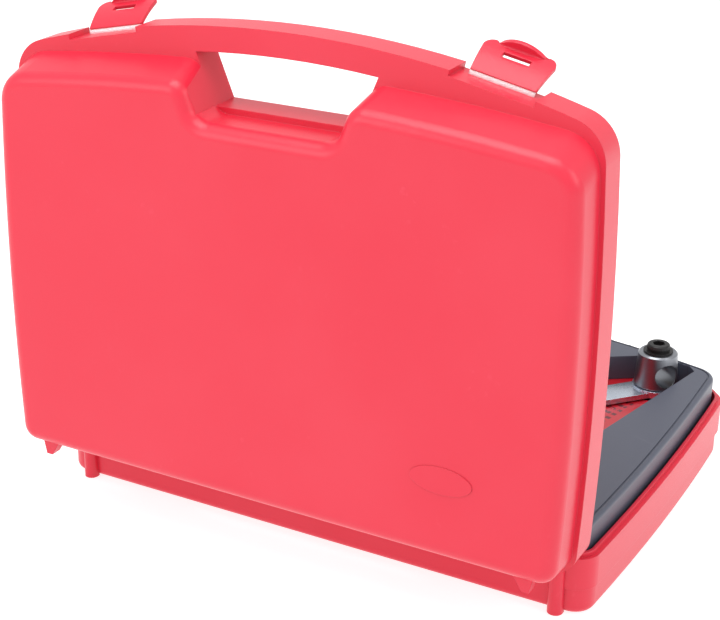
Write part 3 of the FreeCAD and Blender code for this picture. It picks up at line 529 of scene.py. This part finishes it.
@dataclass
class Finishes:
    """All finishes of the object, made once and kept by the names of their slots."""

    pivot: Point
    arm_angle: float = 50.0
    made: dict[str, Any] = field(init=False)

    def __post_init__(self) -> None:
        """Build every material."""
        finishes = (
            MouldedPlastic("red_case", (0.655, 0.018, 0.045), (0.76, 0.10, 0.14), 0.31, 0.14, glow=0.04),
            # The black deck's base colour is lifted above that of black plastic: its own dark bluish tone
            # plus a painted sheen, standing in for the bright surround reflected on its top
            MouldedPlastic("black_deck", (0.066, 0.073, 0.104), (0.115, 0.122, 0.155), 0.34, 0.4,
                           edge=0.0006, grain=1900.0, grain_depth=0.00006),
            PrintedPlate("red_plate", (0.50, 0.010, 0.022), (0.070, 0.006, 0.010), self.pivot),
            WorkedMetal("steel_arm", (0.66, 0.71, 0.80), (0.50, 0.55, 0.64), 0.27, Grain.ALONG,
                        turn=self.arm_angle),
            WorkedMetal("grey_post", (0.31, 0.32, 0.35), (0.19, 0.20, 0.22), 0.30, Grain.TURNED),
            WorkedMetal("black_screw", (0.020, 0.020, 0.022), (0.05, 0.045, 0.042), 0.38, Grain.CAST,
                        metallic=0.55),
            WorkedMetal("plain_steel", (0.56, 0.57, 0.60), (0.40, 0.40, 0.42), 0.28, Grain.TURNED),
            WorkedMetal("cast_block", (0.60, 0.61, 0.63), (0.44, 0.45, 0.47), 0.48, Grain.CAST),
            WorkedMetal("bronze_bush", (0.62, 0.40, 0.17), (0.40, 0.25, 0.11), 0.34, Grain.TURNED),
            WorkedMetal("brass_pad", (0.72, 0.52, 0.22), (0.50, 0.34, 0.14), 0.30, Grain.TURNED),
            Film("clear_film", (0.95, 0.82, 0.84), (0.97, 0.91, 0.92)))
        self.made = {finish.name: finish.material() for finish in finishes}

    def dress(self, piece: Any, slot: str, body: str | None = None) -> Any:
        """Give a piece the finish of its slot, put it on its body and report it.

        Args:
            piece: the mesh object.
            slot: the material slot's name, which is its finish's name too.
            body: the body that carries it, or None where that is settled elsewhere.

        Returns:
            The same piece.
        """
        piece.data.materials.clear()
        piece.data.materials.append(self.made[slot])
        if body:
            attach(piece, body)
        LOG.info("%s: %s", piece.name, slot)
        return piece


# Surfaces

def grid_faces(rows: int, columns: int, wrap: bool) -> np.ndarray:
    """Quads of a grid of points stored row by row.

    Args:
        rows: number of rows.
        columns: points in a row.
        wrap: whether the last point of a row joins the first.

    Returns:
        An array with four point numbers to a face.
    """
    across = columns if wrap else columns - 1
    row, column = np.meshgrid(np.arange(rows - 1), np.arange(across), indexing="ij")
    after = (column + 1) % columns
    corners = (row * columns + column, row * columns + after,
               (row + 1) * columns + after, (row + 1) * columns + column)
    return np.stack(corners, axis=-1).reshape(-1, 4)


def mesh_object(name: str, points: np.ndarray, faces: list[list[int]], smooth: bool = True) -> Any:
    """A mesh object at the origin.

    Args:
        name: the piece's name.
        points: positions in metres, with three coordinates in the last axis.
        faces: point numbers of each face.
        smooth: whether the faces are shaded smooth.

    Returns:
        The new object, linked to the scene.
    """
    mesh = bpy.data.meshes.new(name)
    mesh.from_pydata(points.reshape(-1, 3).tolist(), [], faces)
    mesh.polygons.foreach_set("use_smooth", [smooth] * len(mesh.polygons))
    mesh.validate()
    mesh.update()
    made = bpy.data.objects.new(name, mesh)
    bpy.context.scene.collection.objects.link(made)
    return made


def tube(name: str, rings: np.ndarray, closed: bool) -> Any:
    """A skin over rings of points, capped at both ends or closed on itself.

    Args:
        name: the piece's name.
        rings: array of ring, point and coordinate.
        closed: whether the last ring joins the first.

    Returns:
        The new object.
    """
    count, around = rings.shape[:2]
    if closed:
        faces = (grid_faces(count + 1, around, True) % (count * around)).tolist()
    else:
        faces = grid_faces(count, around, True).tolist()
        faces.append(list(range(around))[::-1])
        faces.append(list(range((count - 1) * around, count * around)))
    return mesh_object(name, rings, faces)


def joint(name: str) -> dict[str, Any]:
    """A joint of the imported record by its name."""
    return next(entry for entry in frame["record"]["behaviour"]["joints"] if entry["name"] == name)


# Sub-assemblies

@dataclass
class Frame:
    """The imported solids, dressed as they are."""

    finishes: Finishes

    def build(self) -> None:
        """Put each node's finish on it, by the slot that the record gives it."""
        for entry in frame["record"]["subparts"]:
            self.finishes.dress(frame["nodes"][entry["node"]], entry["material_slot"])


@dataclass
class Latch:
    """One latch: a bulged tab with a slot and a turned-up lip, half folded on a strip of film.

    Lengths are in millimetres, and each reach is measured out from the fold axis.
    """

    side: Side
    finishes: Finishes
    rest_fold: float = 60.0
    root_half: float = 20.0
    root_reach: float = 1.1
    widest_half: float = 22.0
    length: float = 26.0
    corner: float = 6.0
    corner_sweep: float = 1.5
    bulge: float = 1.2
    thickness: float = 2.4
    lip_rise: float = 7.25
    lip_half: float = 15.0
    lip_turn: float = 0.5
    slot_half: float = 8.5
    slot_reach: float = 17.0
    slot_height: float = 3.9
    slot_columns: int = 13
    side_columns: int = 9
    rows_below: int = 8
    rows_above: int = 3
    lip_rows: int = 13
    edge: float = 0.55
    edge_steps: int = 3
    edge_angle: float = 40.0
    film_reach: float = 1.8
    film_thickness: float = 0.8
    film_overlap: float = 0.35
    film_end: float = 0.03
    film_taper: float = 0.3
    film_steps: int = 15
    film_rings: int = 40
    flat_half: float = field(init=False)
    turn_start: float = field(init=False)
    origin: np.ndarray = field(init=False)
    lid_axes: np.ndarray = field(init=False)
    tab_axes: np.ndarray = field(init=False)

    def __post_init__(self) -> None:
        """Read the fold axis; the tab leans from the lid's plane towards the front by the rest fold."""
        self.flat_half = self.widest_half - self.corner
        self.turn_start = self.length - self.corner
        fold = joint(f"{self.side.value}_latch_fold")
        self.origin = np.array(fold["pos_m"], float)
        along = -np.array(fold["axis"], float)
        normal = np.array((0.0, 1.0, 0.0))
        outward = np.cross(along, normal)
        outward = outward * np.sign(outward[2])
        lean = math.radians(self.rest_fold)
        self.lid_axes = np.stack([along, outward, normal])
        self.tab_axes = np.stack([along, outward * math.cos(lean) - normal * math.sin(lean),
                                  normal * math.cos(lean) + outward * math.sin(lean)])

    def placed(self, local: np.ndarray, axes: np.ndarray) -> np.ndarray:
        """Points across, out and up from the fold axis, in millimetres, as points of the frame."""
        return self.origin + (local * MILLIMETRE) @ axes

    def columns(self) -> np.ndarray:
        """Places across the widest row: even over the slot and the flat end, closing up round the corners.

        Returns:
            The places in order, from side to side.
        """
        beside = np.linspace(self.slot_half, self.flat_half, self.side_columns)[1:]
        sweep = np.linspace(0, self.corner_sweep, self.side_columns)[1:]
        side = np.concatenate([beside, self.flat_half + self.corner * np.sin(sweep)])
        middle = np.linspace(-self.slot_half, self.slot_half, self.slot_columns)
        return np.concatenate([-side[::-1], middle, side])

    def spread(self, across: np.ndarray, reach: np.ndarray) -> np.ndarray:
        """Places across each row: even over the slot, and outside it drawn in evenly towards the root.

        Args:
            across: places across the widest row.
            reach: reach of each point, by row and column.

        Returns:
            The place across of each point.
        """
        least = (self.root_half - self.slot_half) / (self.widest_half - self.slot_half)
        share = np.clip((reach - self.root_reach) / (self.turn_start - self.root_reach), 0.0, 1.0)
        outside = np.maximum(np.abs(across) - self.slot_half, 0.0)
        inside = np.clip(across, -self.slot_half, self.slot_half)
        return inside + np.sign(across) * outside * (least + (1 - least) * share)

    def sheet(self, across: np.ndarray) -> np.ndarray:
        """The middle surface of the tab.

        Rows run out along the reach to the corners' start, and from there each column goes its own way: flat
        to the round corner, or up a squared quarter turn into the lip, whose crest is an arc across the tab.
        A parabola along the reach gives the bulge.

        Args:
            across: places across the widest row.

        Returns:
            Points across, out and up from the fold axis, by row and column.
        """
        low, high = self.slot_reach - self.slot_height / 2, self.slot_reach + self.slot_height / 2
        rows = np.concatenate([np.linspace(self.root_reach, low, self.rows_below),
                               np.linspace(high, self.turn_start, self.rows_above)])
        crest = (self.lip_half ** 2 + self.lip_rise ** 2) / (2 * self.lip_rise)
        bow = np.sqrt(crest ** 2 - np.minimum(np.abs(across), crest) ** 2)
        rise = np.maximum(bow - crest + self.lip_rise, 0.0)
        beyond = np.clip(np.abs(across) - self.flat_half, 0.0, self.corner)
        rest = np.sqrt(self.corner ** 2 - beyond ** 2) - np.minimum(rise, self.thickness) / 2
        turn = np.linspace(0, np.pi / 2, self.lip_rows)[1:, None]
        reach = np.concatenate([np.repeat(rows[:, None], len(across), 1),
                                self.turn_start + rest * np.sin(turn) ** self.lip_turn])
        lift = np.concatenate([np.zeros((len(rows), len(across))),
                               rise * (1 - np.maximum(np.cos(turn), 0.0) ** self.lip_turn)])
        middle, half_reach = (self.root_reach + self.length) / 2, (self.length - self.root_reach) / 2
        height = self.bulge * (1 - ((reach - middle) / half_reach) ** 2) + lift
        return np.stack([self.spread(across, reach), reach, height], axis=-1)

    def tab(self) -> Any:
        """The tab's sheet without the cells of its slot, thickened and eased.

        Returns:
            The new object.
        """
        across = self.columns()
        sheet = self.sheet(across)
        cells = grid_faces(len(sheet), len(across), False).reshape(-1, len(across) - 1, 4)
        keep = np.ones(cells.shape[:2], bool)
        keep[self.rows_below - 1, (np.abs(across[:-1] + across[1:]) / 2) < self.slot_half] = False
        piece = mesh_object(f"latch_tab_{self.side.value}", self.placed(sheet, self.tab_axes),
                            cells[keep].tolist())
        wall = piece.modifiers.new("wall", "SOLIDIFY")
        wall.thickness = self.thickness * MILLIMETRE
        wall.offset = 0.0
        wall.use_even_offset = True
        ease = piece.modifiers.new("ease", "BEVEL")
        ease.width = self.edge * MILLIMETRE
        ease.segments = self.edge_steps
        ease.limit_method = "ANGLE"
        ease.angle_limit = math.radians(self.edge_angle)
        return piece

    def film(self) -> Any:
        """A strip between lid and tab.

        Its middle line leaves the lid's plane and runs into the tab's on a quadratic curve drawn towards the
        fold axis. Both sides of that line, set off by a thickness that tapers at its two ends, are the
        section, and the section is carried along the fold axis.

        Returns:
            The new object.
        """
        lower = -(self.film_reach + self.film_overlap) * self.lid_axes[1]
        upper = (self.root_reach + self.film_overlap) * self.tab_axes[1]
        step = np.linspace(0, 1, self.film_steps)[:, None]
        line = lower * (1 - step) ** 2 + upper * step ** 2
        way = upper * step - lower * (1 - step)
        normal = np.cross(self.lid_axes[0], way)
        normal /= np.linalg.norm(normal, axis=1)[:, None]
        inside = np.clip(step, self.film_end, 1 - self.film_end)
        thin = normal * (self.film_thickness / 2 * np.sin(np.pi * inside) ** self.film_taper)
        section = np.concatenate([line + thin, (line - thin)[::-1]])
        along = np.linspace(-self.root_half, self.root_half, self.film_rings)
        rings = section[None] + along[:, None, None] * self.lid_axes[0]
        return tube(f"film_strip_{self.side.value}", self.origin + rings * MILLIMETRE, False)

    def build(self) -> None:
        """Replace the plain tab and the plain hinge bead of this side."""
        body = f"{self.side.value}_latch"
        tab = self.finishes.dress(self.tab(), "red_case", body)
        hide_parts(f"latch_{self.side.value}")
        strip = self.finishes.dress(self.film(), "clear_film")
        start = self.placed(np.array((0.0, -self.film_overlap, 0.0)), self.lid_axes)
        end = self.placed(np.array((0.0, self.root_reach, 0.0)), self.tab_axes)
        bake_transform(strip)
        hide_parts(f"film_hinge_{self.side.value}")


@dataclass
class ScrewHead:
    """Knurled band round the clamp screw's head, with its lengths in millimetres."""

    finishes: Finishes
    ridges: int = 40
    ridge_steps: int = 8
    ridge_depth: float = 0.28
    skin: float = 0.12
    wall: float = 1.2
    lower_margin: float = 0.7
    upper_margin: float = 1.12
    levels: int = 9
    fade: float = 0.5

    def build(self) -> None:
        """A closed band whose radius rises and falls with the angle, fading out at its two edges."""
        low, high = (np.array(corner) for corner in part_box("clamp_screw"))
        middle = (low + high) / 2
        radius = (high[0] - low[0]) / 2 + self.skin * MILLIMETRE
        head_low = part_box("screw_washer")[1][2] + self.lower_margin * MILLIMETRE
        head_high = high[2] - self.upper_margin * MILLIMETRE
        level = np.linspace(0, 1, self.levels)
        angle = np.linspace(0, 2 * np.pi, self.ridges * self.ridge_steps, endpoint=False)
        share = np.sin(np.pi * level)[:, None] ** self.fade
        ridge = np.abs(np.cos(angle * self.ridges / 2)) * self.ridge_depth * MILLIMETRE
        sunk = (self.ridge_depth + 2 * self.skin) * MILLIMETRE
        outer = radius - sunk * (1 - share) + ridge * share
        inner = np.full((1, len(angle)), radius - self.wall * MILLIMETRE)
        reach = np.concatenate([inner, outer, inner])
        height = np.concatenate([[0.0], level, [1.0]]) * (head_high - head_low) + head_low
        rings = np.stack([middle[0] + reach * np.cos(angle), middle[1] + reach * np.sin(angle),
                          np.repeat(height[:, None], len(angle), 1)], axis=-1)
        self.finishes.dress(tube("screw_knurl", rings, True), "black_screw", "turning_screw")


@dataclass(frozen=True)
class Panel:
    """One broad soft light: its place and the side of its square in metres, and its power in watts."""

    name: str
    place: Point
    side: float
    power: float


@dataclass
class Studio:
    """Pale floor, soft light and the camera, in metres, degrees and pixels of the photograph."""

    focal_pixels: float = 1708.46
    centre_x: float = 252.0
    centre_y: float = 324.3
    width: int = 720
    height: int = 620
    sensor_width: float = 36.0
    yaw: float = 31.574
    pitch: float = 23.314
    roll: float = 0.669
    station: Point = (-0.48782, 1.01063, 0.58098)
    floor_half: float = 6.0
    floor_drop: float = 0.0005
    floor_tone: Colour = (0.45, 0.45, 0.45)
    floor_roughness: float = 0.9
    floor_glow: float = 0.8
    surround: float = 0.86
    panels_aim: Point = (0.0, 0.05, 0.1)
    panels: tuple[Panel, ...] = (
        Panel("top_panel", (0.1, 0.5, 1.9), 1.3, 20.0),
        Panel("left_panel", (0.9, 1.5, 1.0), 1.0, 7.0),
        Panel("window_panel", (-1.5, 0.2, 1.1), 0.9, 6.0))

    def build(self) -> None:
        """Build all of it, with plain tones that keep the red as strong as it is."""
        bpy.context.scene.view_settings.view_transform = "Standard"
        self.floor()
        self.lights()
        self.camera()

    def floor(self) -> None:
        """A flat pale sheet at the object's foot, with a glow of its own that keeps shadows faint."""
        corners = np.array([(-1, -1, 0), (1, -1, 0), (1, 1, 0), (-1, 1, 0)]) * self.floor_half
        sheet = mesh_object("floor", corners - (0, 0, self.floor_drop), [[0, 1, 2, 3]], False)
        sheet.data.materials.append(Paint("pale_floor").finish(
            Base_Color=self.floor_tone, Roughness=self.floor_roughness, Emission_Color=WHITE,
            Emission_Strength=self.floor_glow))

    def lights(self) -> None:
        """A bright surround and broad panels: above, at the camera's left and at its right."""
        world = bpy.data.worlds.new("surround")
        world.use_nodes = True
        background = world.node_tree.nodes["Background"]
        background.inputs["Color"].default_value = (*WHITE, 1.0)
        background.inputs["Strength"].default_value = self.surround
        bpy.context.scene.world = world
        for panel in self.panels:
            light = bpy.data.lights.new(panel.name, "AREA")
            light.energy = panel.power
            light.size = panel.side
            lamp = bpy.data.objects.new(panel.name, light)
            lamp.location = panel.place
            beam = Vector(self.panels_aim) - Vector(panel.place)
            lamp.rotation_euler = beam.to_track_quat("-Z", "Y").to_euler()
            bpy.context.scene.collection.objects.link(lamp)

    def camera(self) -> None:
        """Camera at the photograph's angle, its centre moved by the lens shift."""
        lens = bpy.data.cameras.new("camera")
        lens.sensor_fit = "HORIZONTAL"
        lens.sensor_width = self.sensor_width
        lens.lens = self.focal_pixels / self.width * self.sensor_width
        lens.shift_x = (self.width / 2 - self.centre_x) / self.width
        lens.shift_y = (self.centre_y - self.height / 2) / self.width
        yaw, pitch, roll = (math.radians(angle) for angle in (self.yaw, self.pitch, self.roll))
        level = math.cos(pitch)
        ahead = Vector((math.sin(yaw) * level, -math.cos(yaw) * level, -math.sin(pitch)))
        right = ahead.cross(Vector((0, 0, 1))).normalized()
        upward = right.cross(ahead)
        turned = Matrix.Rotation(roll, 3, ahead)
        axes = Matrix((turned @ right, turned @ upward, -ahead)).transposed()
        camera = bpy.data.objects.new("camera", lens)
        camera.matrix_world = Matrix.Translation(self.station) @ axes.to_4x4()
        bpy.context.scene.collection.objects.link(camera)
        bpy.context.scene.camera = camera


def main() -> None:
    """Dress the frame, add the fine pieces and set the studio."""
    logging.basicConfig(level=logging.INFO, format="%(name)s %(message)s")
    finishes = Finishes(joint("arm_swing")["pos_m"])
    Frame(finishes).build()
    for side in Side:
        Latch(side, finishes).build()
    ScrewHead(finishes).build()
    Studio().build()


if __name__ == "__main__":
    main()
